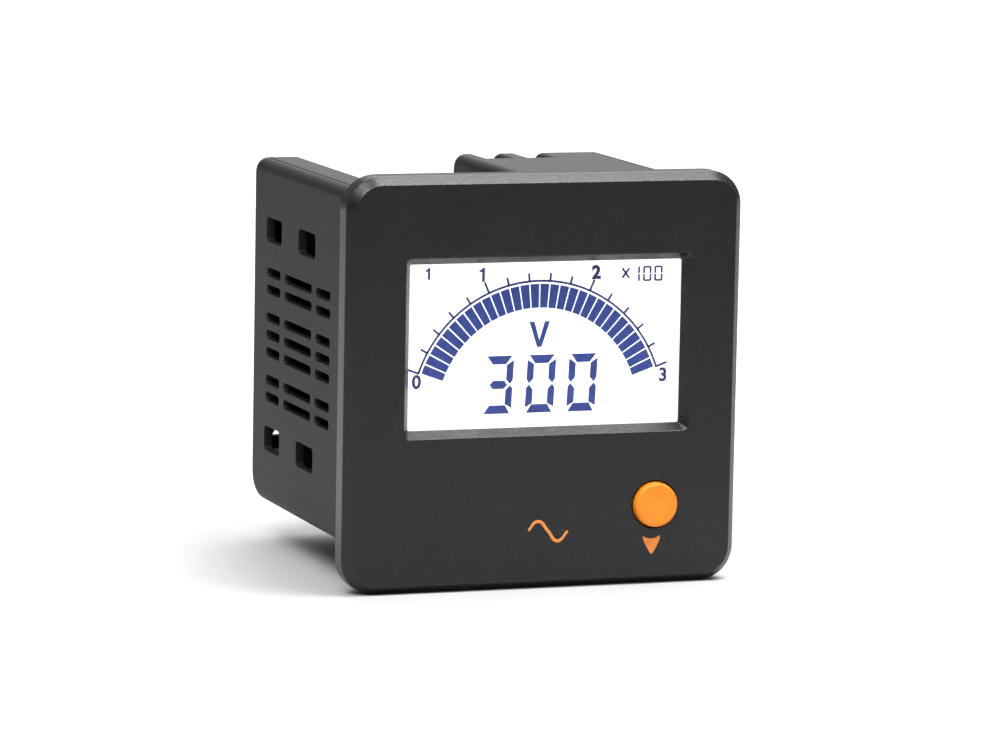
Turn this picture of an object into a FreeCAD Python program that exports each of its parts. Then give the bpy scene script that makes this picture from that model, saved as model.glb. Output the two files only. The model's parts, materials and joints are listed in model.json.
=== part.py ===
import FreeCAD, Part
import math
import os

# Digital panel meter for a DIN 96 x 96 mm cut-out, in millimetres.
# X runs to the right seen from the front, Y from the front face into the panel, Z up.
# The origin is the centre of the front frame, on the plane where it seats on the panel.

# Front frame
frame_side = 96.0
frame_depth = 7.0
frame_corner = 8.0
frame_wall = 2.8
chamfer_in = 2.0
chamfer_back = 2.4
pocket_wall = 2.4
pocket_rib = 1.6
pocket_count = 4

# Case behind the panel, stepped in from the frame's edges
case_side_step = 3.5
case_top_step = 3.8
case_bottom_step = 9.4
case_depth = 79.5
case_wall = 2.2
case_edge = 3.0
case_top_corner = 3.6
case_bottom_corner = 7.0
case_fit = 0.15
seam_groove = 0.35

# Open channel along the top of the case
channel_margin = 10.1
channel_gap = 1.6
channel_front = 20.0
channel_rounding = 2.6

# Slots in the side walls: rows above and below the middle row, and for each column how far
# its front and its back lie from the back of the case
slot_height = 2.1
slot_corner = 0.5
slot_drop = 0.05
slot_rows = (-15.0, -10.9, -4.2, 0.0, 4.2, 10.9, 15.0)
slot_columns = ((62.2, 51.5), (47.9, 27.0), (23.2, 12.7))

# Holes for the panel clamps, placed the same way, and the tunnel behind each pair
clamp_hole_height = 5.8
clamp_hole_corner = 0.7
clamp_hole_columns = ((50.3, 37.3), (23.9, 11.9))
clamp_edge = 16.2
tunnel_height = 8.4
tunnel_width = 6.8
tunnel_wall = 1.6
tunnel_lead = 2.0
tunnel_lip = 2.7
tunnel_window_low = 1.25
tunnel_window_high = 3.9

# Window, by its distance from each edge of the frame, and the display behind it
window_left_margin = 15.6
window_right_margin = 14.4
window_top_margin = 20.5
window_bottom_margin = 37.5
window_corner = 0.4
lip_in = 1.8
lip_corner = 1.2
window_thickness = 1.5
window_overlap = 3.0
window_rib = 1.0
window_fit = 0.2
lcd_gap = 0.2
lcd_thickness = 2.6
lcd_overlap_x = 2.0
lcd_overlap_z = 3.0
guide_gap = 0.2
guide_thickness = 2.6
board_gap = 0.3
holder_wall = 1.2
holder_fit = 0.2
strip_thickness = 1.8
strip_inset = 0.4
strip_end = 4.0
lamp_count = 3
lamp_pitch = 12.0
lamp_size = (1.0, 1.2, 2.8)

# Boards
board_thickness = 1.6
display_board_side = 1.3
display_board_drop = 2.9
inner_board_fit = 0.9
inner_board_front = 6.5
inner_board_gap = 5.0
rail_height = 1.2
rail_depth = 2.0
rail_fit = 0.1

# Screws that hold the display board
boss_side_step = 4.3
boss_end_step = 5.4
boss_radius = 2.8
board_screw_radius = 1.3
board_screw_length = 7.2
board_screw_head = 2.5
board_screw_head_height = 1.8
screw_fit = 0.02
bore_spare = 0.5

# Snap hooks between frame and case
hook_side_step = 29.3
hook_width = 8.0
hook_thickness = 1.4
hook_tooth = 1.4
hook_reach = 12.0
hook_tooth_length = 3.0
hook_fit = 0.2

# Push button and the switch behind it
button_side_step = 20.6
button_rise = 18.7
button_radius = 5.2
button_gap = 0.4
button_proud = 1.8
button_rounding = 0.9
button_rounding_steps = 4
button_wall = 1.3
button_flange_radius = 6.2
button_flange = 1.0
button_stem_radius = 1.7
button_travel = 0.5
collar_gap = 0.3
collar_wall = 1.0
collar_length = 2.4
switch_side = 6.0
switch_height = 3.5
plunger_radius = 1.6
plunger_height = 1.5
plunger_depth = 0.8
plunger_fit = 0.05
plunger_room = 0.2

# Terminal bays
bay_width = 6.8
bay_rib = 4.0
bay_depth = 14.5
bay_rib_rounding = 1.6
supply_bays = 2
supply_margin = 17.0
input_bays = 4
bay_margin = 0.4
terminal_thickness = 0.8
terminal_width = 6.0
terminal_tail_width = 3.0
terminal_tail_length = 10.0
terminal_leg = 10.0
terminal_end_gap = 2.0
terminal_fit = 0.2
terminal_screw_radius = 1.5
terminal_screw_length = 5.4
terminal_head_radius = 2.8
terminal_head_height = 2.4
terminal_slot_width = 0.8
terminal_slot_depth = 1.2
washer_side = 6.0
washer_thickness = 0.8

# Parts on the boards, placed from the boards' right, front and back edges
header_pins = 8
header_pitch = 2.54
header_side = 2.5
pin_side = 0.64
pin_hole = 0.9
core_width = 32.0
core_stack = 14.0
core_height = 26.0
core_leg = 8.0
core_yoke = 5.0
core_side_step = 5.0
core_shift = 3.75
winding_margin = 5.0
winding_fit = 0.15
winding_foot = 2.0
capacitor_radius = 5.0
capacitor_height = 16.0
capacitor_side_step = 15.0
capacitor_front_step = 13.5
varistor_radius = 5.0
varistor_thickness = 4.0
varistor_lead = 0.8
varistor_standoff = 1.0
varistor_side_step = 8.0
varistor_back_step = 12.0
rectifier_size = (8.0, 7.0, 3.5)
rectifier_side_step = 12.0
rectifier_back_step = 3.0
resistor_count = 8
resistor_pitch = 4.4
resistor_radius = 1.2
resistor_length = 6.3
resistor_lead = 0.6
resistor_lead_reach = 1.5
resistor_back_step = 7.7
film_count = 3
film_size = (5.0, 8.0, 9.0)
film_pitch = 8.0
film_side_step = 6.0
film_gap = 2.5
chip_size = (15.4, 7.5, 2.4)
chip_side_step = 13.0
chip_gap = 1.0
chip_legs = 8
micro_side = 12.0
micro_height = 1.4
micro_place = (-18.0, 2.0)
micro_legs = 6
leg_width = 0.5
leg_reach = 1.1
leg_thickness = 0.3
crystal_size = (4.6, 3.6, 11.0)
crystal_place = (6.0, -6.0)

# Sides given to each hidden shank, bore and small round part
hidden_sides = 12

# How far a cutting solid reaches past what it cuts
beyond = 1.0

# Planes and edges worked out from the sizes above
frame_half = frame_side / 2
face_y = -frame_depth
wall_y = face_y + frame_wall
window_back = wall_y + window_thickness
lcd_front = window_back + lcd_gap
lcd_back = lcd_front + lcd_thickness
guide_front = lcd_back + guide_gap
guide_back = guide_front + guide_thickness
board_front = guide_back + board_gap
board_back = board_front + board_thickness
window_width = frame_side - window_left_margin - window_right_margin
window_height = frame_side - window_top_margin - window_bottom_margin
window_x = (window_left_margin - window_right_margin) / 2
window_z = (window_bottom_margin - window_top_margin) / 2
button_x = frame_half - button_side_step
button_z = button_rise - frame_half
case_half = frame_half - case_side_step
case_top = frame_half - case_top_step
case_bottom = case_bottom_step - frame_half
inner_half = case_half - case_wall
inner_top = case_top - case_wall
inner_bottom = case_bottom + case_wall
boss_x = inner_half - boss_side_step
hook_x = inner_half - hook_side_step
slot_middle = (case_top + case_bottom) / 2 - slot_drop
clamp_reach = (case_top - case_bottom) / 2 - clamp_edge
clamp_centres = (slot_middle - clamp_reach, slot_middle + clamp_reach)
tunnel_inner = inner_half - tunnel_width
tunnel_face = tunnel_inner - tunnel_wall
tunnel_front = case_depth - clamp_hole_columns[0][0] - tunnel_lead
bay_front = case_depth - bay_depth
bay_pitch = bay_width + bay_rib
supply_centres = [case_half - supply_margin - bay_width / 2 - (supply_bays - 1 - i) * bay_pitch
                  for i in range(supply_bays)]
input_centres = [(i - (input_bays - 1) / 2) * bay_pitch for i in range(input_bays)]
power_board_top = case_top - terminal_end_gap - terminal_leg - terminal_thickness
power_board_bottom = power_board_top - board_thickness
input_board_bottom = case_bottom + terminal_end_gap + terminal_leg + terminal_thickness
input_board_top = input_board_bottom + board_thickness
inner_board_half = tunnel_face - inner_board_fit
inner_board_back = bay_front - inner_board_gap
channel_left = channel_margin - case_half
channel_right = supply_centres[0] - bay_width / 2 - bay_rib
channel_floor = power_board_top + channel_gap + case_wall
core_x = core_side_step + core_width / 2 - inner_board_half
core_front = (inner_board_front + inner_board_back - core_stack) / 2 + core_shift
resistor_end = inner_board_back - resistor_back_step
resistor_start = resistor_end - resistor_length
film_front = resistor_start - resistor_lead_reach - film_gap - film_size[1]
supply_bay_floor = power_board_top - bay_margin
input_bay_roof = input_board_bottom + bay_margin
supply_screw_z = power_board_top + terminal_leg / 2 + terminal_thickness
input_screw_z = input_board_bottom - terminal_leg / 2 - terminal_thickness
plate_back = bay_front + terminal_thickness
washer_back = plate_back + washer_thickness
switch_front = board_front - switch_height
plunger_front = switch_front - plunger_height


def vector(x, y, z):
    return FreeCAD.Vector(x, y, z)


def block(x0, x1, y0, y1, z0, z1):
    return Part.makeBox(x1 - x0, y1 - y0, z1 - z0, vector(x0, y0, z0))


def rod(x, z, y0, y1, radius):
    return Part.makeCylinder(radius, y1 - y0, vector(x, y0, z), vector(0, 1, 0))


def hidden_rod(x, z, y0, y1, radius):
    # Stands in for a rod where nothing shows it
    turns = [2 * math.pi * i / hidden_sides for i in range(hidden_sides)]
    points = [vector(x + radius * math.cos(turn), y0, z + radius * math.sin(turn)) for turn in turns]
    return Part.Face(Part.makePolygon(points + points[:1])).extrude(vector(0, y1 - y0, 0))


def rounded_loop(points, radii):
    # A closed outline through corner points, each corner rounded by its own radius
    edges = []
    count = len(points)
    starts = []
    ends = []
    for i in range(count):
        corner = points[i]
        to_previous = (points[i - 1] - corner).normalize()
        to_next = (points[(i + 1) % count] - corner).normalize()
        starts.append(corner + to_previous * radii[i])
        ends.append(corner + to_next * radii[i])
    for i in range(count):
        corner = points[i]
        if radii[i] > 0:
            centre = starts[i] + ends[i] - corner
            middle = centre + (corner - centre).normalize() * radii[i]
            edges.append(Part.Arc(starts[i], middle, ends[i]).toShape())
        following = starts[(i + 1) % count]
        if (following - ends[i]).Length > 1e-6:
            edges.append(Part.LineSegment(ends[i], following).toShape())
    return Part.Wire(edges)


def front_outline(x0, x1, z0, z1, y, radius):
    points = [vector(x0, y, z0), vector(x1, y, z0), vector(x1, y, z1), vector(x0, y, z1)]
    return rounded_loop(points, [radius] * 4)


def plate(x0, x1, z0, z1, y0, y1, radius):
    # A slab with rounded corners that lies across the meter's depth
    face = Part.Face(front_outline(x0, x1, z0, z1, y0, radius))
    return face.extrude(vector(0, y1 - y0, 0))


def side_slot(side, y0, y1, z, half, corner):
    # A slot through one side wall, each corner cut at 45 degrees
    z0, z1 = z - half, z + half
    outline = [(y0 + corner, z0), (y1 - corner, z0), (y1, z0 + corner), (y1, z1 - corner),
               (y1 - corner, z1), (y0 + corner, z1), (y0, z1 - corner), (y0, z0 + corner)]
    points = [vector(side * inner_half, y, z) for y, z in outline]
    depth = side * (case_wall + beyond)
    return Part.Face(Part.makePolygon(points + points[:1])).extrude(vector(depth, 0, 0))


def fused(shapes):
    first, rest = shapes[0], shapes[1:]
    return first.fuse(rest).removeSplitter() if rest else first


def centred(x, z, half_x, half_z):
    return x - half_x, x + half_x, z - half_z, z + half_z


def window_block(grow_x, grow_z, y0, y1, radius=0.0):
    half_x = window_width / 2 + grow_x
    half_z = window_height / 2 + grow_z
    x0, x1, z0, z1 = centred(window_x, window_z, half_x, half_z)
    if radius > 0:
        return plate(x0, x1, z0, z1, y0, y1, radius)
    return block(x0, x1, y0, y1, z0, z1)


def boss_places():
    heights = (inner_bottom + boss_end_step, inner_top - boss_end_step)
    return [(side * boss_x, z) for side in (-1, 1) for z in heights]


def case_profile(inset, front):
    # The case seen from the side, pulled in by one wall, as a solid across the width
    top = case_top - inset
    bottom = case_bottom + inset
    back = case_depth - inset
    half = case_half - inset
    points = [vector(-half, front, bottom), vector(-half, back, bottom),
              vector(-half, back, top), vector(-half, front, top)]
    radii = [0, case_bottom_corner - inset, case_top_corner - inset, 0]
    return Part.Face(rounded_loop(points, radii)).extrude(vector(2 * half, 0, 0))


def front_frame_outline(grow, y):
    half = frame_half + grow
    return front_outline(-half, half, -half, half, y, frame_corner + grow)


def snap_hook(x, side):
    # One springy arm that runs just inside the case wall, with its tooth pointing outwards
    wall = inner_top if side > 0 else inner_bottom
    outer = wall - side * hook_fit
    inner = outer - side * hook_thickness
    tip = outer + side * hook_tooth
    back = hook_reach
    catch = back - hook_tooth_length
    x0, x1 = x - hook_width / 2, x + hook_width / 2
    arm = block(x0, x1, wall_y, back, min(inner, outer), max(inner, outer))
    points = [vector(x0, catch, outer), vector(x0, back, outer), vector(x0, catch, tip)]
    tooth = Part.Face(Part.makePolygon(points + points[:1])).extrude(vector(x1 - x0, 0, 0))
    return [arm, tooth]


def front_bezel():
    shoulder = face_y + chamfer_back
    rim = Part.Face(front_frame_outline(0, shoulder)).extrude(vector(0, -shoulder, 0))
    nose = Part.makeLoft([front_frame_outline(0, shoulder), front_frame_outline(-chamfer_in, face_y)],
                         True, True)
    body = fused([rim, nose])
    socket = plate(-case_half - case_fit, case_half + case_fit, case_bottom - case_fit,
                   case_top + case_fit, wall_y, beyond, case_edge + case_fit)
    cuts = [socket]
    # Pockets that keep the thick bottom rim even in wall thickness
    pocket_bottom = pocket_wall - frame_half
    pocket_top = case_bottom - case_fit - pocket_rib
    pocket_span = frame_side - 2 * frame_corner
    pocket_width = (pocket_span - (pocket_count - 1) * pocket_rib) / pocket_count
    for i in range(pocket_count):
        left = -pocket_span / 2 + i * (pocket_width + pocket_rib)
        cuts.append(block(left, left + pocket_width, wall_y, beyond, pocket_bottom, pocket_top))
    # Sloped lip of the window, then the button hole
    half_x, half_z = window_width / 2, window_height / 2
    outer = centred(window_x, window_z, half_x + lip_in, half_z + lip_in)
    inner = centred(window_x, window_z, half_x, half_z)
    cuts.append(Part.makeLoft([front_outline(*outer, face_y, lip_corner),
                               front_outline(*inner, wall_y, window_corner)], True, True))
    cuts.append(rod(button_x, button_z, face_y - beyond, wall_y + beyond, button_radius + button_gap))
    body = body.cut(cuts)
    # Ribs round the window plate, bosses, the button's collar and the snap hooks
    rib_in = window_overlap + window_fit
    rib_out = rib_in + window_rib
    rib_back = window_back - window_fit
    ribs = window_block(rib_out, rib_out, wall_y, rib_back)
    ribs = ribs.cut(window_block(rib_in, rib_in, wall_y, rib_back))
    collar_in = button_flange_radius + collar_gap
    collar_end = wall_y + collar_length
    collar = hidden_rod(button_x, button_z, wall_y, collar_end, collar_in + collar_wall)
    collar = collar.cut(hidden_rod(button_x, button_z, wall_y, collar_end, collar_in))
    collar = collar.common(block(-inner_half, inner_half, wall_y, collar_end,
                                 inner_bottom + hook_fit, inner_top))
    bosses = [hidden_rod(x, z, wall_y, board_front, boss_radius) for x, z in boss_places()]
    hooks = []
    for x in (-hook_x, hook_x):
        for side in (-1, 1):
            hooks += snap_hook(x, side)
    body = fused([body, ribs, collar] + bosses + hooks)
    bore_front = board_back - board_screw_length - bore_spare
    bores = [hidden_rod(x, z, bore_front, board_front, board_screw_radius + screw_fit)
             for x, z in boss_places()]
    return body.cut(bores)


def display_window():
    return window_block(window_overlap, window_overlap, wall_y, window_back)


def lcd_panel():
    return window_block(lcd_overlap_x, lcd_overlap_z, lcd_front, lcd_back)


def light_guide():
    return window_block(0, -holder_fit, guide_front, guide_back)


def guide_edge():
    return window_x + window_width / 2


def backlight_leds():
    width, height, length = lamp_size
    left = guide_edge() + holder_fit / 2
    lamps = []
    for i in range(lamp_count):
        z = window_z + (i - (lamp_count - 1) / 2) * lamp_pitch
        lamps.append(block(left, left + width, board_front - height, board_front,
                           z - length / 2, z + length / 2))
    return Part.Compound(lamps)


def strip_edges():
    # Lower and upper faces of both elastomer strips, seen in Z
    outer = window_height / 2 + lcd_overlap_z - strip_inset
    inner = outer - strip_thickness
    return [(window_z + inner, window_z + outer), (window_z - outer, window_z - inner)]


def strip_half():
    return window_width / 2 + lcd_overlap_x - strip_end


def lcd_holder():
    grow_x = lcd_overlap_x + holder_fit
    grow_z = lcd_overlap_z + holder_fit
    body = window_block(grow_x + holder_wall, grow_z + holder_wall, window_back, board_front)
    seat = window_block(grow_x, grow_z, window_back, lcd_back)
    well = window_block(holder_fit, 0, lcd_back, board_front)
    lamp_room = lamp_size[0] + holder_fit
    right = guide_edge() + lamp_room
    half = (lamp_count - 1) / 2 * lamp_pitch + lamp_size[2] / 2 + holder_fit
    lamp_bay = block(guide_edge(), right, lcd_back, board_front, window_z - half, window_z + half)
    slots = [block(window_x - strip_half() - holder_fit, window_x + strip_half() + holder_fit,
                   lcd_back, board_front, low - holder_fit / 2, high + holder_fit / 2)
             for low, high in strip_edges()]
    return body.cut([seat, well, lamp_bay] + slots)


def elastomer_strips():
    strips = [block(window_x - strip_half(), window_x + strip_half(), lcd_back, board_front, low, high)
              for low, high in strip_edges()]
    return Part.Compound(strips)


def header_places(count):
    return [(i - (count - 1) / 2) * header_pitch for i in range(count)]


def power_pin_z():
    return power_board_bottom - header_side / 2


def input_pin_z():
    return input_board_top + header_side / 2


def display_board():
    half = inner_half - display_board_side
    board = block(-half, half, board_front, board_back, inner_bottom + display_board_drop,
                  inner_top - display_board_drop)
    holes = [hidden_rod(x, z, board_front, board_back, board_screw_radius + holder_fit)
             for x, z in boss_places()]
    for z in (power_pin_z(), input_pin_z()):
        for x in header_places(header_pins):
            holes.append(block(x - pin_hole / 2, x + pin_hole / 2, board_front, board_back,
                               z - pin_hole / 2, z + pin_hole / 2))
    return board.cut(holes)


def board_screws():
    screws = []
    for x, z in boss_places():
        head = hidden_rod(x, z, board_back, board_back + board_screw_head_height, board_screw_head)
        shank = hidden_rod(x, z, board_back - board_screw_length, board_back, board_screw_radius)
        screws.append(fused([head, shank]))
    return Part.Compound(screws)


def button_cap():
    # A hollow cap, its flange, and the stem that meets the plunger. The front edge is rounded in
    # short cones, which take far fewer facets than one fillet
    top = face_y - button_proud
    floor = top + button_wall
    flange_back = wall_y + button_flange
    outline = [(0, flange_back), (0, top)]
    for step in range(button_rounding_steps + 1):
        angle = math.radians(90 * step / button_rounding_steps)
        outline.append((button_radius - button_rounding * (1 - math.sin(angle)),
                        top + button_rounding * (1 - math.cos(angle))))
    outline.append((button_radius, flange_back))
    corners = [vector(button_x + radius, y, button_z) for radius, y in outline]
    section = Part.Face(Part.makePolygon(corners + corners[:1]))
    cap = section.revolve(vector(button_x, 0, button_z), vector(0, 1, 0), 360)
    flange = hidden_rod(button_x, button_z, wall_y, flange_back, button_flange_radius)
    bore = hidden_rod(button_x, button_z, floor, flange_back + beyond, button_radius - button_wall)
    stem = hidden_rod(button_x, button_z, floor, plunger_front, button_stem_radius)
    return fused([fused([cap, flange]).cut(bore), stem])


def switch_plunger():
    return hidden_rod(button_x, button_z, plunger_front, switch_front + plunger_depth, plunger_radius)


def tact_switch():
    half = switch_side / 2
    body = block(button_x - half, button_x + half, switch_front, board_front,
                 button_z - half, button_z + half)
    room = switch_front + plunger_depth + button_travel + plunger_room
    return body.cut(hidden_rod(button_x, button_z, switch_front, room, plunger_radius + plunger_fit))


def legged_chip(size_x, size_z, count, centre_x, centre_z, four_sides):
    # A chip on the back of the display board, with its rows of legs
    x0, x1, z0, z1 = centred(centre_x, centre_z, size_x / 2, size_z / 2)
    body = block(x0, x1, board_back, board_back + micro_height, z0, z1)
    legs = []
    pitch = size_z / (count + 1)
    foot = board_back + leg_thickness
    for i in range(count):
        z = z0 + (i + 1) * pitch
        legs.append(block(x0 - leg_reach, x1 + leg_reach, board_back, foot,
                          z - leg_width / 2, z + leg_width / 2))
        if four_sides:
            x = x0 + (i + 1) * size_x / (count + 1)
            legs.append(block(x - leg_width / 2, x + leg_width / 2, board_back, foot,
                              z0 - leg_reach, z1 + leg_reach))
    return fused([body] + legs)


def microcontroller():
    return legged_chip(micro_side, micro_side, micro_legs, *micro_place, True)


def crystal():
    x, z = crystal_place
    width, height, length = crystal_size
    return plate(x - width / 2, x + width / 2, z - length / 2, z + length / 2,
                 board_back, board_back + height, width * 0.49)


def rear_housing():
    outer = case_profile(0, wall_y)
    rounded = [edge for edge in outer.Edges
               if abs(abs(edge.CenterOfMass.x) - case_half) < 0.01 and edge.CenterOfMass.y > wall_y + 0.01]
    outer = outer.makeFillet(case_edge, rounded)
    back = case_depth + beyond
    high = case_top + beyond
    low_end = case_bottom - beyond
    channel = block(channel_left, channel_right, channel_front, back, channel_floor, high)
    outer = outer.cut(channel)
    channel_edge = [edge for edge in outer.Edges
                    if abs(edge.CenterOfMass.x - channel_right) < 0.01
                    and abs(edge.CenterOfMass.z - case_top) < 0.01]
    outer = outer.makeFillet(channel_rounding, channel_edge)
    # Everything inside the walls, less what the channel and the bays take
    inside = case_profile(case_wall, wall_y - beyond)
    solid_parts = [block(channel_left - case_wall, channel_right + case_wall, channel_front - case_wall,
                         back, channel_floor - case_wall, high)]
    supply_left = channel_right
    supply_right = supply_centres[-1] + bay_width / 2 + case_wall
    solid_parts.append(block(supply_left, supply_right, bay_front - case_wall, back,
                             supply_bay_floor - case_wall, high))
    input_side = input_centres[-1] + bay_width / 2 + case_wall
    solid_parts.append(block(-input_side, input_side, bay_front - case_wall, back,
                             low_end, input_bay_roof + case_wall))
    inside = inside.cut(solid_parts)
    tunnels = []
    openings = []
    for side in (-1, 1):
        for number, z in enumerate(clamp_centres):
            low, high_z = z - tunnel_height / 2, z + tunnel_height / 2
            far = side * tunnel_face
            wall_side = side * (inner_half + case_wall / 2)
            tunnels.append(block(min(far, wall_side), max(far, wall_side),
                                 tunnel_front - tunnel_wall, case_depth - case_wall / 2,
                                 low - tunnel_wall, high_z + tunnel_wall))
            near, deep = side * inner_half, side * tunnel_inner
            openings.append(block(min(near, deep), max(near, deep), tunnel_front,
                                  case_depth - case_wall, low, high_z))
            if number == 0:
                lip = side * (inner_half - tunnel_lip)
                openings.append(block(min(lip, deep), max(lip, deep), case_depth - case_wall, back,
                                      z - tunnel_window_low, z + tunnel_window_high))
            for front, rear in clamp_hole_columns:
                openings.append(side_slot(side, case_depth - front, case_depth - rear, z,
                                          clamp_hole_height / 2, clamp_hole_corner))
        for row in slot_rows:
            for front, rear in slot_columns:
                openings.append(side_slot(side, case_depth - front, case_depth - rear,
                                          slot_middle + row, slot_height / 2, slot_corner))
        seam_x = side * (case_half - case_edge)
        openings.append(block(seam_x - seam_groove / 2, seam_x + seam_groove / 2, 0,
                              case_depth - case_top_corner, case_top - seam_groove, high))
    # Rails that the two inner boards slide in
    rails = []
    ceiling = channel_floor - case_wall
    lower_shelf = input_board_bottom - rail_fit - rail_height
    for side in (-1, 1):
        x0, x1 = sorted((side * tunnel_face, side * (tunnel_face - rail_depth)))
        for z0, z1 in ((power_board_bottom - rail_fit - rail_height, power_board_bottom - rail_fit),
                       (power_board_top + rail_fit, ceiling),
                       (input_board_top + rail_fit, input_board_top + rail_fit + rail_height),
                       (lower_shelf, input_board_bottom - rail_fit)):
            rails.append(block(x0, x1, tunnel_front, inner_board_back, z0, z1))
    for x in supply_centres:
        openings.append(bay_cutter(x, supply_bay_floor, high))
        openings.append(tail_slot(x, power_board_top, 1))
        openings.append(screw_hole(x, supply_screw_z))
    for x in input_centres:
        openings.append(block(x - bay_width / 2, x + bay_width / 2, bay_front, back,
                              low_end, input_bay_roof))
        openings.append(tail_slot(x, input_board_bottom, -1))
        openings.append(screw_hole(x, input_screw_z))
    for x in (-hook_x, hook_x):
        for z0, z1 in ((inner_top, high), (low_end, inner_bottom)):
            openings.append(block(x - hook_width / 2 - hook_fit, x + hook_width / 2 + hook_fit,
                                  hook_reach - hook_tooth_length - hook_fit, hook_reach + hook_fit,
                                  z0, z1))
    shell = outer.cut(inside)
    shell = fused([shell] + tunnels + rails)
    return shell.cut(openings)


def bay_cutter(x, low, high):
    # A bay open to the back and the top; the rib on its right has a rounded upper edge
    left, right = x - bay_width / 2, x + bay_width / 2
    radius = bay_rib_rounding
    back = case_depth + beyond
    bay = block(left, right, bay_front, back, low, high)
    flare = block(right, right + radius, bay_front, back, case_top - radius, high)
    return bay.fuse(flare.cut(rod(right + radius, case_top - radius, bay_front, back, radius)))


def tail_slot(x, z, side):
    # The slot in the bay's front wall that the terminal's tail passes through
    half = terminal_tail_width / 2 + terminal_fit
    z0, z1 = sorted((z - side * terminal_fit, z + side * (terminal_thickness + terminal_fit)))
    return block(x - half, x + half, bay_front - case_wall, bay_front, z0, z1)


def screw_hole(x, z):
    return hidden_rod(x, z, bay_front - case_wall, bay_front, terminal_screw_radius + terminal_fit)


def terminal(x, z, side):
    # An angle of brass: a tail on the board and an upright leg against the bay's front wall
    far = z + side * terminal_thickness
    tip = z + side * (terminal_leg + terminal_thickness)
    half = terminal_width / 2
    tail_half = terminal_tail_width / 2
    tail = block(x - tail_half, x + tail_half, bay_front - terminal_tail_length, plate_back,
                 min(z, far), max(z, far))
    leg = block(x - half, x + half, bay_front, plate_back, min(z, tip), max(z, tip))
    screw_z = z + side * (terminal_leg / 2 + terminal_thickness)
    hole = hidden_rod(x, screw_z, bay_front, plate_back, terminal_screw_radius + screw_fit)
    return fused([tail, leg]).cut(hole)


def supply_terminals():
    return Part.Compound([terminal(x, power_board_top, 1) for x in supply_centres])


def input_terminals():
    return Part.Compound([terminal(x, input_board_bottom, -1) for x in input_centres])


def screw_places():
    return [(x, supply_screw_z) for x in supply_centres] + [(x, input_screw_z) for x in input_centres]


def terminal_screws():
    screws = []
    for x, z in screw_places():
        head_back = washer_back + terminal_head_height
        head = rod(x, z, washer_back, head_back, terminal_head_radius)
        slot = block(x - terminal_head_radius, x + terminal_head_radius,
                     head_back - terminal_slot_depth, head_back,
                     z - terminal_slot_width / 2, z + terminal_slot_width / 2)
        shank = hidden_rod(x, z, washer_back - terminal_screw_length, washer_back,
                           terminal_screw_radius)
        screws.append(fused([head.cut(slot), shank]))
    return Part.Compound(screws)


def clamp_washers():
    washers = []
    for x, z in screw_places():
        x0, x1, z0, z1 = centred(x, z, washer_side / 2, washer_side / 2)
        washer = block(x0, x1, plate_back, washer_back, z0, z1)
        hole = hidden_rod(x, z, plate_back, washer_back, terminal_screw_radius + screw_fit)
        washers.append(washer.cut(hole))
    return Part.Compound(washers)


def inner_board(top):
    return block(-inner_board_half, inner_board_half, inner_board_front, inner_board_back,
                 top - board_thickness, top)


def power_board():
    return inner_board(power_board_top)


def input_board():
    return inner_board(input_board_top)


def header(pin_z):
    # A row of pins from the edge of an inner board into the display board
    half = header_pins * header_pitch / 2
    back = inner_board_front + header_side
    body = block(-half, half, inner_board_front, back, pin_z - header_side / 2, pin_z + header_side / 2)
    pins = [block(x - pin_side / 2, x + pin_side / 2, board_front + pin_side / 4, inner_board_front,
                  pin_z - pin_side / 2, pin_z + pin_side / 2) for x in header_places(header_pins)]
    return fused([body] + pins)


def power_header():
    return header(power_pin_z())


def input_header():
    return header(input_pin_z())


def core_box():
    # Left, right, front, back, bottom and top of the transformer's iron
    top = power_board_bottom - winding_foot
    return (core_x - core_width / 2, core_x + core_width / 2, core_front, core_front + core_stack,
            top - core_height, top)


def transformer_core():
    left, right, front, back, bottom, top = core_box()
    iron = block(left, right, front, back, bottom, top)
    windows = [block(x0, x1, front, back, bottom + core_yoke, top - core_yoke)
               for x0, x1 in ((left + core_yoke, core_x - core_leg / 2),
                              (core_x + core_leg / 2, right - core_yoke))]
    return iron.cut(windows)


def transformer_winding():
    left, right, front, back, bottom, top = core_box()
    low, high = bottom + core_yoke + winding_fit, top - core_yoke - winding_fit
    x0, x1 = left + core_yoke + winding_fit, right - core_yoke - winding_fit
    coil = block(x0, x1, front - winding_margin, back + winding_margin, low, high)
    leg = block(core_x - core_leg / 2 - winding_fit, core_x + core_leg / 2 + winding_fit,
                front - winding_fit, back + winding_fit, low, high)
    coil = coil.cut(leg)
    feet = [block(x0, x1, y0, y1, high, power_board_bottom)
            for y0, y1 in ((front - winding_margin, front - winding_fit),
                           (back + winding_fit, back + winding_margin))]
    return fused([coil] + feet)


def filter_capacitor():
    x = inner_board_half - capacitor_side_step
    y = inner_board_front + capacitor_front_step
    return Part.makeCylinder(capacitor_radius, capacitor_height,
                             vector(x, y, power_board_bottom - capacitor_height))


def surge_varistor():
    x = inner_board_half - varistor_side_step
    y = inner_board_back - varistor_back_step
    centre = power_board_bottom - varistor_standoff - varistor_radius
    half = varistor_thickness / 2
    disc = Part.makeCylinder(varistor_radius, varistor_thickness, vector(x - half, y, centre),
                             vector(1, 0, 0))
    leads = [block(x - varistor_lead / 2, x + varistor_lead / 2, y + shift - varistor_lead / 2,
                   y + shift + varistor_lead / 2, centre, power_board_bottom)
             for shift in (-varistor_radius / 2, varistor_radius / 2)]
    return fused([disc] + leads)


def bridge_rectifier():
    width, length, height = rectifier_size
    right = inner_board_half - rectifier_side_step
    rear = inner_board_back - rectifier_back_step
    return block(right - width, right, rear - length, rear, power_board_bottom - height,
                 power_board_bottom)


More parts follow.
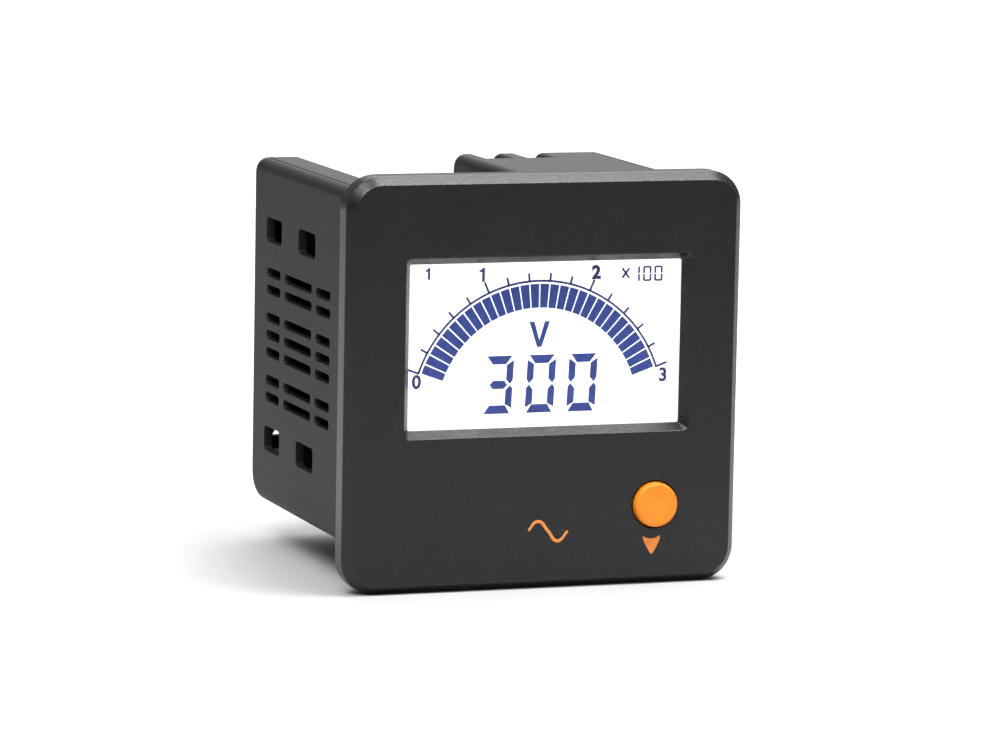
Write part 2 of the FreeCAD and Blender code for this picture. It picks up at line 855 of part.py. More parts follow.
def divider_resistors():
    # A row of resistors that lie on the lower board, each with its leads bent down
    resistors = []
    for i in range(resistor_count):
        x = (i - (resistor_count - 1) / 2) * resistor_pitch
        z = input_board_top + resistor_radius
        body = hidden_rod(x, z, resistor_start, resistor_end, resistor_radius)
        half = resistor_lead / 2
        start = resistor_start - resistor_lead_reach
        end = resistor_end + resistor_lead_reach
        lead = block(x - half, x + half, start, end, z - half, z + half)
        legs = [block(x - half, x + half, y0, y0 + resistor_lead, input_board_top, z)
                for y0 in (start, end - resistor_lead)]
        resistors.append(fused([body, lead] + legs))
    return Part.Compound(resistors)


def input_capacitors():
    width, length, height = film_size
    blocks = []
    for i in range(film_count):
        right = inner_board_half - film_side_step - i * film_pitch
        blocks.append(block(right - width, right, film_front, film_front + length,
                            input_board_top, input_board_top + height))
    return Part.Compound(blocks)


def measuring_chip():
    length, width, height = chip_size
    x0 = chip_side_step - inner_board_half
    y0 = film_front - chip_gap - leg_reach - width
    body = block(x0, x0 + length, y0, y0 + width, input_board_top, input_board_top + height)
    pitch = length / (chip_legs + 1)
    legs = [block(x0 + (i + 1) * pitch - leg_width / 2, x0 + (i + 1) * pitch + leg_width / 2,
                  y0 - leg_reach, y0 + width + leg_reach,
                  input_board_top, input_board_top + leg_thickness) for i in range(chip_legs)]
    return fused([body] + legs)


pieces = [front_bezel, display_window, lcd_panel, light_guide, backlight_leds, lcd_holder,
          elastomer_strips, display_board, board_screws, button_cap, switch_plunger, tact_switch,
          microcontroller, crystal, rear_housing, power_board, power_header, transformer_core,
          transformer_winding, filter_capacitor, surge_varistor, bridge_rectifier, input_board,
          input_header, divider_resistors, input_capacitors, measuring_chip, supply_terminals,
          input_terminals, terminal_screws, clamp_washers]

os.makedirs("parts", exist_ok=True)
for piece in pieces:
    shape = piece()
    name = piece.__name__
    shape.exportStep("parts/" + name + ".step")
    print(name, len(shape.Solids), "solid(s)", round(shape.Volume, 1), "mm3", "valid" if shape.isValid()
          else "NOT VALID")
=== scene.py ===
import json
import math

import bmesh
import bpy
from mathutils import Matrix, Vector


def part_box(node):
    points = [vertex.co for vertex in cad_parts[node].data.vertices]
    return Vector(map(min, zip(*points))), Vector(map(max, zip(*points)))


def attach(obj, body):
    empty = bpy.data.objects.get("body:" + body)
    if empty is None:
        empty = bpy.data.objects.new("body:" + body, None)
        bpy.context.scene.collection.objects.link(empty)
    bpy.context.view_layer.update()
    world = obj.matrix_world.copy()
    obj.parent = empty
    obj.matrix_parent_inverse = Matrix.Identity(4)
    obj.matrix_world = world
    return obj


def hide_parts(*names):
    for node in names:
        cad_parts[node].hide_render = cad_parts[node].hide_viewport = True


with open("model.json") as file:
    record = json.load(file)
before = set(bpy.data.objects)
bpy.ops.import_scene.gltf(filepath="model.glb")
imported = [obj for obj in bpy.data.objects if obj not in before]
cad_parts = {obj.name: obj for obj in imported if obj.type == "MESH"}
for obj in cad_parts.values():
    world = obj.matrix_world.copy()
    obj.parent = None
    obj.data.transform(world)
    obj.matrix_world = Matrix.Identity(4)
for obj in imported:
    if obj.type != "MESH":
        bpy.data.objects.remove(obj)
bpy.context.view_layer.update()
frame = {"nodes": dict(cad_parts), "record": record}
mm = 0.001
print("frame loaded:", len(frame["nodes"]), "nodes")


# camera, where the photograph was taken from
cameraView = {
    "yaw": 19.71, "pitch": 8.14, "roll": 1.11,   # degrees
    "distance": 1196.0,                          # mm from the aim point
    "aim": (-4.12, 13.0, -0.93),                 # mm
    "focalPixels": 5142.0,                       # at an image 1000 pixels wide
    "imageWidth": 1000.0,
    "sensor": 36.0,                              # mm
    "clip": (0.05, 50.0),                        # m, nearest and farthest point drawn
}


def placeCamera(view):
    yaw, pitch, roll = (math.radians(view[name]) for name in ("yaw", "pitch", "roll"))
    ahead = Vector((math.sin(yaw) * math.cos(pitch), math.cos(yaw) * math.cos(pitch), -math.sin(pitch)))
    right = Vector((math.cos(yaw), -math.sin(yaw), 0))
    up = right.cross(ahead)
    turnedRight = math.cos(roll) * right + math.sin(roll) * up
    turnedUp = math.cos(roll) * up - math.sin(roll) * right
    data = bpy.data.cameras.new("camera")
    data.sensor_width = view["sensor"]
    data.lens = view["focalPixels"] * view["sensor"] / view["imageWidth"]
    data.clip_start, data.clip_end = view["clip"]
    camera = bpy.data.objects.new("camera", data)
    bpy.context.collection.objects.link(camera)
    turn = Matrix((turnedRight, turnedUp, -ahead)).transposed()
    place = (Vector(view["aim"]) - ahead * view["distance"]) * mm
    camera.matrix_world = Matrix.Translation(place) @ turn.to_4x4()
    bpy.context.scene.camera = camera


placeCamera(cameraView)
bpy.context.scene.view_settings.view_transform = "Standard"
print("camera placed")


# colours and materials
def linear(hexText):                             # sRGB hex to the linear values that shaders take
    channels = [int(hexText[i:i + 2], 16) / 255 for i in (1, 3, 5)]
    return [c / 12.92 if c <= 0.04045 else ((c + 0.055) / 1.055) ** 2.4 for c in channels] + [1.0]


def addNode(tree, kind, settings=None, links=None, stops=None):
    node = tree.nodes.new(kind)
    for name, value in (settings or {}).items():
        if name in node.inputs:
            node.inputs[name].default_value = value
        else:
            setattr(node, name, value)
    for name, source in (links or {}).items():
        tree.links.new(source, node.inputs[name])
    if stops:
        for element, (position, colour) in zip(node.color_ramp.elements, stops):
            element.position, element.color = position, colour
    return node


toneSettings = {
    "cloudDetail": 3.0,
    "toneFrom": 0.35, "toneTo": 0.65,            # part of the pattern over which dark turns to light
}


def patternedMaterial(name, look):
    material = bpy.data.materials.new(name)
    material.use_nodes = True
    tree = material.node_tree
    tree.nodes.clear()
    place = addNode(tree, "ShaderNodeTexCoord").outputs["Object"]
    clouds = addNode(tree, "ShaderNodeTexNoise",
                     {"Scale": 1 / (look["cloud"] * mm), "Detail": toneSettings["cloudDetail"]},
                     {"Vector": place})
    pattern = addNode(tree, look.get("pattern", "ShaderNodeTexNoise"),
                      {"Scale": 1 / (look["grain"] * mm), **look.get("patternSettings", {})},
                      {"Vector": place})
    grain = pattern.outputs[look.get("patternOutput", "Fac")]
    source = grain if look.get("grainColours") else clouds.outputs["Fac"]
    tone = addNode(tree, "ShaderNodeValToRGB", None, {"Fac": source},
                   [(toneSettings["toneFrom"], linear(look["dark"])),
                    (toneSettings["toneTo"], linear(look["light"]))])
    low, high = look["roughness"]
    rough = addNode(tree, "ShaderNodeMapRange", {"To Min": low, "To Max": high}, {"Value": grain})
    bump = addNode(tree, "ShaderNodeBump", {"Strength": 1.0, "Distance": look["height"] * mm},
                   {"Height": grain})
    shader = addNode(tree, "ShaderNodeBsdfPrincipled", look.get("shader", {}), {
        "Base Color": tone.outputs["Color"],
        "Roughness": rough.outputs["Result"],
        "Normal": bump.outputs["Normal"],
    })
    if "glow" in look:
        shader.inputs["Emission Strength"].default_value = look["glow"]
        tree.links.new(tone.outputs["Color"], shader.inputs["Emission Color"])
    addNode(tree, "ShaderNodeOutputMaterial", None, {"Surface": shader.outputs["BSDF"]})
    return material


# each finish: colours, then the size of its clouds, its grain and the grain's height in mm
finishes = {
    # charcoal ABS moulded in a spark-eroded tool: satin, with a fine sparkle on slopes towards the light;
    # the real grain is under 0.1 mm and is drawn coarser, so that it shows
    "frame_plastic": ("charcoalAbsSparkGrain", {
        "dark": "#121317", "light": "#16171B", "cloud": 18, "grain": 0.4, "height": 0.05,
        "roughness": (0.16, 0.5), "patternSettings": {"Detail": 1.0},
        "shader": {"IOR": 1.5, "Specular IOR Level": 0.42}}),
    # the case is the same ABS from a plainer tool: duller, an even dark grey without the sparkle
    "case_plastic": ("charcoalAbsSatin", {
        "dark": "#111216", "light": "#17181C", "cloud": 25, "grain": 0.5, "height": 0.1,
        "roughness": (0.5, 0.64), "patternSettings": {"Detail": 2.0},
        "shader": {"IOR": 1.45, "Specular IOR Level": 0.4}}),
    # display cell with a milky rear polariser, lit from behind: flat white; its glow is partly painted
    # light, which keeps the cell pure white in the shade of the frame's deep recess
    "lcd_glass": ("displayWhiteBacklightAndPaintedGlow", {
        "dark": "#F4F6F8", "light": "#FFFFFF", "cloud": 30, "grain": 0.3, "height": 0.001,
        "roughness": (0.25, 0.32), "glow": 0.8, "shader": {"IOR": 1.5}}),
    # milky acrylic and polycarbonate: soft white with faint flow clouds
    "white_plastic": ("milkyAcrylic", {
        "dark": "#EDEFF0", "light": "#F8F9FA", "cloud": 12, "grain": 0.6, "height": 0.004,
        "roughness": (0.28, 0.38), "shader": {"IOR": 1.49}}),
    # silicone strip in thin conductive layers: fine grey stripes, drawn coarser than the real 0.05 mm
    "grey_rubber": ("layeredSiliconeStrip", {
        "dark": "#5E6166", "light": "#A2A5AB", "cloud": 3, "grain": 0.5, "height": 0.01,
        "grainColours": True, "pattern": "ShaderNodeTexWave", "roughness": (0.6, 0.7),
        "shader": {"IOR": 1.41}}),
    # orange ABS push button, tumbled smooth: warm satin
    "orange_plastic": ("orangeAbsSatin", {
        "dark": "#FF8A14", "light": "#FF9520", "cloud": 5, "grain": 0.35, "height": 0.006,
        "roughness": (0.38, 0.46), "shader": {"IOR": 1.5, "Specular IOR Level": 0.4}}),
    # solder resist over woven glass: green with a faint cloth pattern
    "board_green": ("solderResistGreen", {
        "dark": "#1B5239", "light": "#236447", "cloud": 6, "grain": 0.8, "height": 0.006,
        "pattern": "ShaderNodeTexVoronoi", "patternOutput": "Distance", "roughness": (0.25, 0.38),
        "shader": {"IOR": 1.5}}),
    # epoxy and nylon component bodies: near black, slightly speckled
    "part_black": ("blackMouldedEpoxy", {
        "dark": "#18181B", "light": "#202024", "cloud": 2, "grain": 0.25, "height": 0.006,
        "roughness": (0.45, 0.6), "shader": {"IOR": 1.55}}),
    # side-view lamp body: bright white resin
    "lamp_white": ("whiteLampResin", {
        "dark": "#F6F6F2", "light": "#FFFFFF", "cloud": 2, "grain": 0.3, "height": 0.003,
        "roughness": (0.3, 0.4), "shader": {"IOR": 1.54}}),
    # zinc plate over turned steel: cool grey with fine turning streaks
    "steel": ("zincPlatedSteel", {
        "dark": "#A6A9AF", "light": "#C8CACF", "cloud": 1.5, "grain": 0.3, "height": 0.004,
        "roughness": (0.28, 0.42), "shader": {"Metallic": 1.0}}),
    # nickel flash over pressed brass: pale gold, dulled in patches
    "brass": ("pressedBrass", {
        "dark": "#B8934A", "light": "#D2AC5C", "cloud": 2, "grain": 0.4, "height": 0.004,
        "roughness": (0.26, 0.4), "shader": {"Metallic": 1.0}}),
    # varnished core plates: grey in thin layers, drawn a little coarser than the real 0.5 mm
    "iron": ("varnishedCorePlates", {
        "dark": "#4C4F54", "light": "#666A70", "cloud": 5, "grain": 0.9, "height": 0.02,
        "grainColours": True, "pattern": "ShaderNodeTexWave", "patternSettings": {"bands_direction": "Z"},
        "roughness": (0.35, 0.5), "shader": {"Metallic": 0.6}}),
    # polyester tape round the winding: amber and glossy, with the wire's ripple
    "winding_tape": ("amberPolyesterTape", {
        "dark": "#C79A2C", "light": "#DDB443", "cloud": 4, "grain": 0.8, "height": 0.02,
        "pattern": "ShaderNodeTexWave", "patternSettings": {"bands_direction": "Z"},
        "roughness": (0.2, 0.3), "shader": {"IOR": 1.6}}),
    # drawn aluminium can: bright with faint drawing lines along it
    "can_metal": ("drawnAluminiumCan", {
        "dark": "#B6B9BF", "light": "#CCCED3", "cloud": 3, "grain": 0.35, "height": 0.003,
        "roughness": (0.24, 0.36), "shader": {"Metallic": 1.0}}),
    # dipped epoxy: glossy blue with a slightly uneven skin
    "varistor_blue": ("dippedEpoxyBlue", {
        "dark": "#2A5698", "light": "#3466B4", "cloud": 3, "grain": 1.5, "height": 0.03,
        "roughness": (0.18, 0.28), "shader": {"IOR": 1.55}}),
    # moulded film part case: deep red, glossy
    "film_red": ("redMouldedCase", {
        "dark": "#93301F", "light": "#AD3F30", "cloud": 3, "grain": 0.6, "height": 0.006,
        "roughness": (0.22, 0.32), "shader": {"IOR": 1.55}}),
    # lacquered ceramic rod: pale blue with a soft shine
    "resistor_blue": ("lacqueredCeramicBlue", {
        "dark": "#659CBD", "light": "#78AFD0", "cloud": 2, "grain": 0.5, "height": 0.006,
        "roughness": (0.2, 0.3), "shader": {"IOR": 1.52}}),
}


# cast acrylic plate: clear, with only its surface shine to see
windowPlate = {"haze": 9, "hazeDetail": 2.0, "roughness": (0.03, 0.07), "index": 1.49}   # haze in mm


def clearWindow(look):
    material = bpy.data.materials.new("clearAcrylicPlate")
    material.use_nodes = True
    tree = material.node_tree
    tree.nodes.clear()
    place = addNode(tree, "ShaderNodeTexCoord").outputs["Object"]
    haze = addNode(tree, "ShaderNodeTexNoise",
                   {"Scale": 1 / (look["haze"] * mm), "Detail": look["hazeDetail"]},
                   {"Vector": place})
    low, high = look["roughness"]
    rough = addNode(tree, "ShaderNodeMapRange", {"To Min": low, "To Max": high},
                    {"Value": haze.outputs["Fac"]})
    gloss = addNode(tree, "ShaderNodeBsdfGlossy", None, {"Roughness": rough.outputs["Result"]})
    clear = addNode(tree, "ShaderNodeBsdfTransparent")
    fresnel = addNode(tree, "ShaderNodeFresnel", {"IOR": look["index"]}).outputs["Fac"]
    inside = addNode(tree, "ShaderNodeNewGeometry").outputs["Backfacing"]
    # the plate shines on its outer sides alone, so what lies behind stays clear from steep angles
    outside = addNode(tree, "ShaderNodeMapRange", {"To Min": 1.0, "To Max": 0.0}, {"Value": inside})
    share = addNode(tree, "ShaderNodeMath", {"operation": "MULTIPLY"},
                    {0: fresnel, 1: outside.outputs["Result"]})
    both = addNode(tree, "ShaderNodeMixShader", None, {0: share.outputs["Value"]})
    tree.links.new(clear.outputs["BSDF"], both.inputs[1])
    tree.links.new(gloss.outputs["BSDF"], both.inputs[2])
    addNode(tree, "ShaderNodeOutputMaterial", None, {"Surface": both.outputs["Shader"]})
    return material


materials = {slot: patternedMaterial(name, look) for slot, (name, look) in finishes.items()}
materials["window_clear"] = clearWindow(windowPlate)
# liquid-crystal ink over the lit cell: muted blue, a little uneven; its glow is partly painted light, which
# keeps it bright in the shade of the frame's recess
displayBlue = patternedMaterial("displayInkBlue", {
    "dark": "#1E3276", "light": "#263A82", "cloud": 1.2, "grain": 0.3, "height": 0.001,
    "roughness": (0.45, 0.5), "glow": 0.5, "shader": {"Specular IOR Level": 0.2}})
# the same ink in thin strokes: a darker violet blue, so that fine lines hold against the white; its glow
# too is partly painted light
displayDark = patternedMaterial("displayInkDark", {
    "dark": "#2A2C68", "light": "#34377A", "cloud": 1.5, "grain": 0.3, "height": 0.001,
    "roughness": (0.45, 0.5), "glow": 0.3, "shader": {"Specular IOR Level": 0.2}})
# pad-printed orange enamel on the frame: flat and slightly glossy
printOrange = patternedMaterial("orangePrintEnamel", {
    "dark": "#EC872F", "light": "#F5933B", "cloud": 2, "grain": 0.3, "height": 0.003,
    "roughness": (0.35, 0.45)})

slotOfNode = {part["node"]: part["material_slot"] for part in frame["record"]["subparts"]}
for nodeName, node in frame["nodes"].items():
    for materialSlot in node.material_slots:
        materialSlot.material = materials[slotOfNode[nodeName]]
print("materials made:", len(bpy.data.materials))


# helpers for the pieces
def finishPiece(mesh, name, material, body="meter"):
    bmesh.ops.recalc_face_normals(mesh, faces=mesh.faces)
    data = bpy.data.meshes.new(name)
    mesh.to_mesh(data)
    mesh.free()
    data.materials.append(material)
    piece = bpy.data.objects.new(name, data)
    bpy.context.collection.objects.link(piece)
    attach(piece, body)
    return piece


def addPlate(mesh, corners, layer):              # a flat outline in x and z, as thick as the layer
    front, back = layer
    face = mesh.faces.new([mesh.verts.new((x * mm, back * mm, z * mm)) for x, z in corners])
    raised = bmesh.ops.extrude_face_region(mesh, geom=[face])
    points = [part for part in raised["geom"] if isinstance(part, bmesh.types.BMVert)]
    bmesh.ops.translate(mesh, vec=(0, (front - back) * mm, 0), verts=points)


def barBetween(mesh, start, end, width, layer):
    start, end = Vector(start), Vector(end)
    side = (end - start).normalized().orthogonal() * width / 2
    addPlate(mesh, [start - side, end - side, end + side, start + side], layer)


# moulded parts: the solid's own shape, with the small round that a mould leaves along each edge
mouldedParts = {
    "roundFrom": 35,                             # degrees between two faces whose edge is rounded
    "roundSteps": 2, "flatWeight": 100,
    "mergeWithin": 0.002, "flatWithin": 0.4,     # mm and degrees, to join the solid's loose triangles
    "parts": (
        # node, its body, radius in mm
        ("front_bezel", "meter", 0.22),
        ("rear_housing", "meter", 0.2),
        ("button_cap", "button", 0.2),
    ),
}


def mouldedPart(node, body, radius, look):
    mesh = bmesh.new()
    mesh.from_mesh(frame["nodes"][node].data)
    bmesh.ops.remove_doubles(mesh, verts=mesh.verts, dist=look["mergeWithin"] * mm)
    bmesh.ops.dissolve_limit(mesh, angle_limit=math.radians(look["flatWithin"]), verts=mesh.verts,
                             edges=mesh.edges)
    sharp = [edge for edge in mesh.edges if edge.calc_face_angle(0) > math.radians(look["roundFrom"])]
    bmesh.ops.bevel(mesh, geom=sharp, offset=radius * mm, segments=look["roundSteps"], affect="EDGES",
                    profile=0.5, material=-1, clamp_overlap=False)
    low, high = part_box(node)
    for point in mesh.verts:                     # no round stands proud of the solid's box
        point.co = [min(max(value, least), most) for value, least, most in zip(point.co, low, high)]
    for face in mesh.faces:
        face.smooth = True
    piece = finishPiece(mesh, node + "_moulded", materials[slotOfNode[node]], body)
    shading = piece.modifiers.new("flatFacesStayFlat", "WEIGHTED_NORMAL")
    shading.mode, shading.weight = "FACE_AREA", look["flatWeight"]
    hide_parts(node)


for node, body, radius in mouldedParts["parts"]:
    mouldedPart(node, body, radius, mouldedParts)
print("moulded parts rounded")

inkLayer = (-2.6, -2.5)                          # y of the display ink's front and back, in mm

# curved bar scale of the display
dial = {
    "layer": inkLayer,
    "centre": (-0.4, -7.8),                      # x and z of the circles' centre
    "barReach": (24.6, 30.1), "bars": 30, "barShare": 0.86,   # share of its cell that a bar fills
    "arcReach": (30.54, 31.04), "arcSteps": 96,
    "ticks": 16, "tickStep": 9.43,               # degrees from tick to tick
    "tickWidth": 0.5, "tickLength": 1.6, "longTick": 2.5, "longEvery": 5,
}


def polar(angle, radius, look):                  # a place on the dial, the angle from straight up
    heading = Vector((math.sin(math.radians(angle)), math.cos(math.radians(angle))))
    return Vector(look["centre"]) + heading * radius


def dialBars(look):
    mesh = bmesh.new()
    inner, outer = look["barReach"]
    span = (look["ticks"] - 1) * look["tickStep"]
    cell = span / look["bars"]
    for number in range(look["bars"]):
        middle = (number + 0.5) * cell - span / 2
        start, end = middle - cell * look["barShare"] / 2, middle + cell * look["barShare"] / 2
        addPlate(mesh, [polar(start, inner, look), polar(start, outer, look),
                        polar(end, outer, look), polar(end, inner, look)], look["layer"])
    finishPiece(mesh, "dial_bars", displayBlue)


def dialLine(look):                              # the arc, a section spun round the centre, and its ticks
    mesh = bmesh.new()
    span = (look["ticks"] - 1) * look["tickStep"]
    centre = Vector((look["centre"][0], 0, look["centre"][1]))
    (inner, outer), (front, back) = look["arcReach"], look["layer"]
    section = []
    for radius, y in ((inner, front), (outer, front), (outer, back), (inner, back)):
        place = polar(-span / 2, radius, look)
        section.append(mesh.verts.new((place.x, y, place.y)))
    bmesh.ops.spin(mesh, geom=[mesh.faces.new(section)], cent=centre, axis=(0, 1, 0),
                   angle=math.radians(span), steps=look["arcSteps"])
    bmesh.ops.scale(mesh, vec=(mm, mm, mm), verts=mesh.verts)
    for number in range(look["ticks"]):
        angle = number * look["tickStep"] - span / 2
        length = look["longTick"] if number % look["longEvery"] == 0 else look["tickLength"]
        barBetween(mesh, polar(angle, inner, look), polar(angle, outer + length, look),
                   look["tickWidth"], look["layer"])
    finishPiece(mesh, "dial_scale_line", displayDark)


dialBars(dial)
dialLine(dial)

# seven-segment figures
digits = {
    "layer": inkLayer,
    "width": 6.95, "height": 13.4, "foot": -7.55, "lefts": (-13.85, -3.55, 6.65),
    "slant": 0.045, "flatBar": 1.96, "sideBar": 1.64,
    # how far the segments' corners lie from the figure's sides, top, middle or foot
    "topBar": (0.4, 1.9), "footBar": (0.3, 0.36, 1.55), "tip": 0.64,
    "upperTop": (1.05, 2.15), "upperFoot": (1.13, 0.14, 1.24),
    "lowerTop": (0.9, 0.12, 1.3), "lowerFoot": (1.26, 2.2),
    "middleLeft": (1.33, 2.18), "middleRight": (1.28, 2.13), "middleHalf": 0.95,
    "reading": "300",
}
segmentsOf = {"0": "abcdef", "3": "abcdg"}


def segmentOutlines(look):                       # one figure, from its lower left corner
    w, h = look["width"], look["height"]
    middle, flat, side = h / 2, look["flatBar"], look["sideBar"]
    (topOuter, topInner), (footLeft, footRight, footInner) = look["topBar"], look["footBar"]
    (highOuter, highInner), (outer, tip, inner) = look["upperTop"], look["upperFoot"]
    upper = [(0, h - highOuter), (side, h - highInner), (side, middle + inner),
             (look["tip"], middle + tip), (0, middle + outer)]
    (outer, tip, inner), (lowOuter, lowInner) = look["lowerTop"], look["lowerFoot"]
    lower = [(0, middle - outer), (look["tip"], middle - tip), (side, middle - inner),
             (side, lowInner), (0, lowOuter)]
    (leftTip, leftEnd), (rightTip, rightEnd) = look["middleLeft"], look["middleRight"]
    above, below = middle + look["middleHalf"], middle - look["middleHalf"]
    return {
        "a": [(topOuter, h), (w - topOuter, h), (w - topInner, h - flat), (topInner, h - flat)],
        "b": [(w - x, z) for x, z in upper],
        "c": [(w - x, z) for x, z in lower],
        "d": [(footLeft, 0), (w - footRight, 0), (w - footInner, flat), (footInner, flat)],
        "e": lower,
        "f": upper,
        "g": [(leftTip, middle), (leftEnd, above), (w - rightEnd, above), (w - rightTip, middle),
              (w - rightEnd, below), (leftEnd, below)],
    }


def mainDigits(look):
    mesh = bmesh.new()
    outlines = segmentOutlines(look)
    for left, figure in zip(look["lefts"], look["reading"]):
        for segment in segmentsOf[figure]:
            corners = [(left + x + look["slant"] * z, look["foot"] + z) for x, z in outlines[segment]]
            addPlate(mesh, corners, look["layer"])
    finishPiece(mesh, "display_figures", displayBlue)


mainDigits(digits)

# small figures at the display's top right: a factor of one hundred
factor = {
    "layer": inkLayer,
    "foot": 22.3, "height": 3.55, "bar": 0.42, "gap": 0.12,
    "zeros": ((24.96, 26.97), (27.72, 29.74)), "one": (23.66, 24.21),   # left and right side of each
    "cross": (19.79, 21.52, 23.15, 25.42),       # left, right, foot and top
    "crossWidth": 0.45,
}


def factorFigures(look):
    mesh = bmesh.new()
    foot, top, bar, gap = look["foot"], look["foot"] + look["height"], look["bar"], look["gap"]
    middle = (foot + top) / 2
    for left, right in look["zeros"]:
        for z in (foot + bar / 2, top - bar / 2):
            barBetween(mesh, (left + bar / 2 + gap, z), (right - bar / 2 - gap, z), bar, look["layer"])
        for x in (left + bar / 2, right - bar / 2):
            barBetween(mesh, (x, foot + gap), (x, middle - gap), bar, look["layer"])
            barBetween(mesh, (x, middle + gap), (x, top - gap), bar, look["layer"])
    x = sum(look["one"]) / 2
    barBetween(mesh, (x, foot + gap), (x, middle - gap), bar, look["layer"])
    barBetween(mesh, (x, middle + gap), (x, top - gap), bar, look["layer"])
    low, high, bottom, upper = look["cross"]
    barBetween(mesh, (low, bottom), (high, upper), look["crossWidth"], look["layer"])
    barBetween(mesh, (low, upper), (high, bottom), look["crossWidth"], look["layer"])
    finishPiece(mesh, "display_factor", displayDark)


factorFigures(factor)

# numbers along the scale, and the unit's letter
scaleText = {
    "layer": inkLayer,
    "curveSteps": 8,
    # each number: text, x, z, height and how much its strokes are thickened, in mm
    "marks": (("0", -29.9, 0.4, 3.3, 0.22), ("2", 13.4, 24.7, 3.3, 0.32), ("3", 30.4, 0.4, 3.3, 0.22)),
    "ones": ((-14.5, 24.7, 3.3), (-27.6, 25.2, 2.75)),         # x, z and height of each figure one
    # the figure one, as shares of its height, and the unit's letter in mm
    "one": ((0.2, 0), (0.2, 1), (0.07, 1), (-0.02, 0.87), (-0.2, 0.8), (-0.2, 0.69), (0.01, 0.69),
            (0.01, 0)),
    "unit": ((-2.5, 5.9), (-1.27, 5.9), (0, 1.55), (1.27, 5.9), (2.5, 5.9), (0.55, 0), (-0.55, 0)),
    "unitPlace": (-0.25, 7.7),
}


def numberPlates(look):
    mesh = bmesh.new()
    front, back = look["layer"]
    for text, x, z, height, weight in look["marks"]:
        curve = bpy.data.curves.new("lettering", "FONT")
        curve.body = text
        curve.offset = weight / height / 2
        curve.resolution_u = look["curveSteps"]
        holder = bpy.data.objects.new("lettering", curve)
        flat = bpy.data.meshes.new_from_object(holder)
        low = Vector([min(v.co[i] for v in flat.vertices) for i in (0, 1)])
        high = Vector([max(v.co[i] for v in flat.vertices) for i in (0, 1)])
        size = height * mm / (high.y - low.y)
        middle = (low + high) / 2
        stand = Matrix.Translation((x * mm, back * mm, z * mm)) @ Matrix.Rotation(math.pi / 2, 4, "X")
        flat.transform(stand @ Matrix.Scale(size, 4) @ Matrix.Translation((-middle.x, -middle.y, 0)))
        already = len(mesh.faces)
        mesh.from_mesh(flat)
        mesh.faces.ensure_lookup_table()
        raised = bmesh.ops.extrude_face_region(mesh, geom=mesh.faces[already:])
        points = [part for part in raised["geom"] if isinstance(part, bmesh.types.BMVert)]
        bmesh.ops.translate(mesh, vec=(0, (front - back) * mm, 0), verts=points)
        bpy.data.objects.remove(holder)
        bpy.data.curves.remove(curve)
        bpy.data.meshes.remove(flat)
    for x, z, height in look["ones"]:
        addPlate(mesh, [(x + a * height, z + (b - 0.5) * height) for a, b in look["one"]], look["layer"])
    finishPiece(mesh, "scale_numbers", displayDark)


def unitLetter(look):
    mesh = bmesh.new()
    x, z = look["unitPlace"]
    addPlate(mesh, [(x + a, z + b) for a, b in look["unit"]], look["layer"])
    finishPiece(mesh, "unit_letter", displayBlue)


numberPlates(scaleText)
unitLetter(scaleText)
print("display drawn")

# printed marks on the frame
frameMarks = {
    "layer": (-7.04, -7.0),                      # y of the print's front and back, in mm
    "arrow": ((24.55, -36.95), (24.8, -36.75), (25.5, -37.1), (26.2, -37.3), (26.95, -37.35), (27.7, -37.2),
              (28.3, -36.9), (28.75, -36.65), (28.95, -36.9), (28.7, -37.9), (28.05, -39.2), (27.3, -40.5),
              (27.0, -40.85), (26.75, -40.9), (26.5, -40.75), (25.7, -39.4), (24.95, -37.95)),
    "wave": ((-3.65, -34.3), (-1.3, -32.25), (1.1, -34.45), (3.55, -37.0), (6.0, -34.75)),
    "waveReach": 1.25,                           # length of the handles at the crest and the trough
    "waveWidth": 0.8, "waveEnd": 0.75,           # the ends as a share of the line's width
    "waveSteps": 8, "waveRoundness": 3,
    "mergeWithin": 0.0001,                       # mm
}


def printedArrow(look):
    mesh = bmesh.new()
    addPlate(mesh, look["arrow"], look["layer"])
    finishPiece(mesh, "printed_arrow", printOrange)


def printedWave(look):
    curve = bpy.data.curves.new("wave", "CURVE")
    curve.dimensions = "3D"
    curve.bevel_depth = look["waveWidth"] / 2
    curve.bevel_resolution = look["waveRoundness"]
    curve.resolution_u = look["waveSteps"]
    curve.use_fill_caps = True
    line = curve.splines.new("BEZIER")
    line.bezier_points.add(len(look["wave"]) - 1)
    for number, (point, (x, z)) in enumerate(zip(line.bezier_points, look["wave"])):
        point.co = (x, 0, z)
        point.handle_left_type = point.handle_right_type = "AUTO"
        if number % 2:                           # crest and trough lie level
            point.handle_left_type = point.handle_right_type = "ALIGNED"
            point.handle_left = (x - look["waveReach"], 0, z)
            point.handle_right = (x + look["waveReach"], 0, z)
    line.bezier_points[0].radius = line.bezier_points[-1].radius = look["waveEnd"]
    holder = bpy.data.objects.new("wave", curve)
    tube = bpy.data.meshes.new_from_object(holder)
    mesh = bmesh.new()
    mesh.from_mesh(tube)
    front, back = look["layer"]
    flatness = (back - front) * 2 / look["waveWidth"]
    bmesh.ops.scale(mesh, vec=(mm, mm * flatness, mm), verts=mesh.verts)
    bmesh.ops.translate(mesh, vec=(0, back * mm, 0), verts=mesh.verts)
    bmesh.ops.remove_doubles(mesh, verts=mesh.verts, dist=look["mergeWithin"] * mm)
    bpy.data.objects.remove(holder)
    bpy.data.curves.remove(curve)
    bpy.data.meshes.remove(tube)
    finishPiece(mesh, "printed_wave", printOrange)


printedArrow(frameMarks)
printedWave(frameMarks)
print("printed marks made")

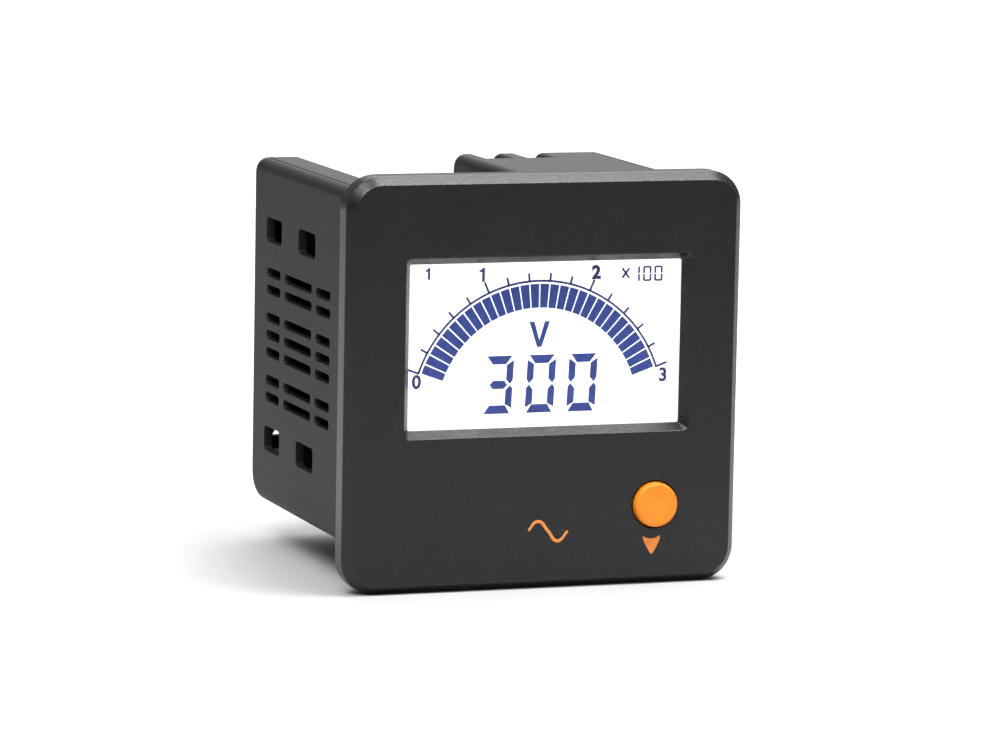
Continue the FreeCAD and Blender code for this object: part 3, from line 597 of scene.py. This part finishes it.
# floor and soft studio light
studio = {
    "floorHeight": -48.0, "floorSize": 16.0,        # mm, then metres
    "dome": ((0.0, "#707276"), (1.0, "#FFFFFF")),   # sine of the height above the horizon, and colour there
    "domeStrength": 0.6,
    "lights": (
        # name, place, aim and size in metres, watts, degrees of its beam
        ("overhead", (0.3, -0.17, 0.88), (0.05, 0, 0), (0.4, 0.62), 2.9, 92),
        ("fill", (-0.5, -0.32, 0.9), (-0.05, 0.05, 0), (0.6, 0.6), 2.8, 92),
        ("behind", (0.58, 1.55, 0.8), (0.53, 1.4, -0.05), (0.9, 2.6), 25, 125),
    ),
}


def paleFloor(look):
    mesh = bmesh.new()
    bmesh.ops.create_grid(mesh, x_segments=2, y_segments=2, size=look["floorSize"] / 2)
    bmesh.ops.translate(mesh, vec=(0, 0, look["floorHeight"] * mm), verts=mesh.verts)
    data = bpy.data.meshes.new("floor")
    mesh.to_mesh(data)
    mesh.free()
    # light grey paper, which the studio lights bring up to white
    data.materials.append(patternedMaterial("matteLightGreyPaper", {
        "dark": "#BCBDBF", "light": "#C1C2C4", "cloud": 400, "grain": 2, "height": 0.002,
        "roughness": (0.8, 0.9)}))
    floor = bpy.data.objects.new("floor", data)
    bpy.context.collection.objects.link(floor)


def softLights(look):
    for name, place, aim, size, power, beam in look["lights"]:
        data = bpy.data.lights.new(name, "AREA")
        data.shape = "RECTANGLE"
        data.size, data.size_y = size
        data.energy = power
        data.spread = math.radians(beam)
        lamp = bpy.data.objects.new(name, data)
        bpy.context.collection.objects.link(lamp)
        lamp.location = place
        lamp.rotation_euler = (Vector(aim) - Vector(place)).to_track_quat("-Z", "Y").to_euler()
    world = bpy.data.worlds.new("studio")
    world.use_nodes = True
    tree = world.node_tree
    tree.nodes.clear()
    direction = addNode(tree, "ShaderNodeTexCoord").outputs["Generated"]
    height = addNode(tree, "ShaderNodeSeparateXYZ", None, {"Vector": direction}).outputs["Z"]
    tone = addNode(tree, "ShaderNodeValToRGB", None, {"Fac": height},
                   [(position, linear(colour)) for position, colour in look["dome"]])
    sky = addNode(tree, "ShaderNodeBackground", {"Strength": look["domeStrength"]},
                  {"Color": tone.outputs["Color"]})
    addNode(tree, "ShaderNodeOutputWorld", None, {"Surface": sky.outputs["Background"]})
    bpy.context.scene.world = world


paleFloor(studio)
softLights(studio)
print("studio lit")
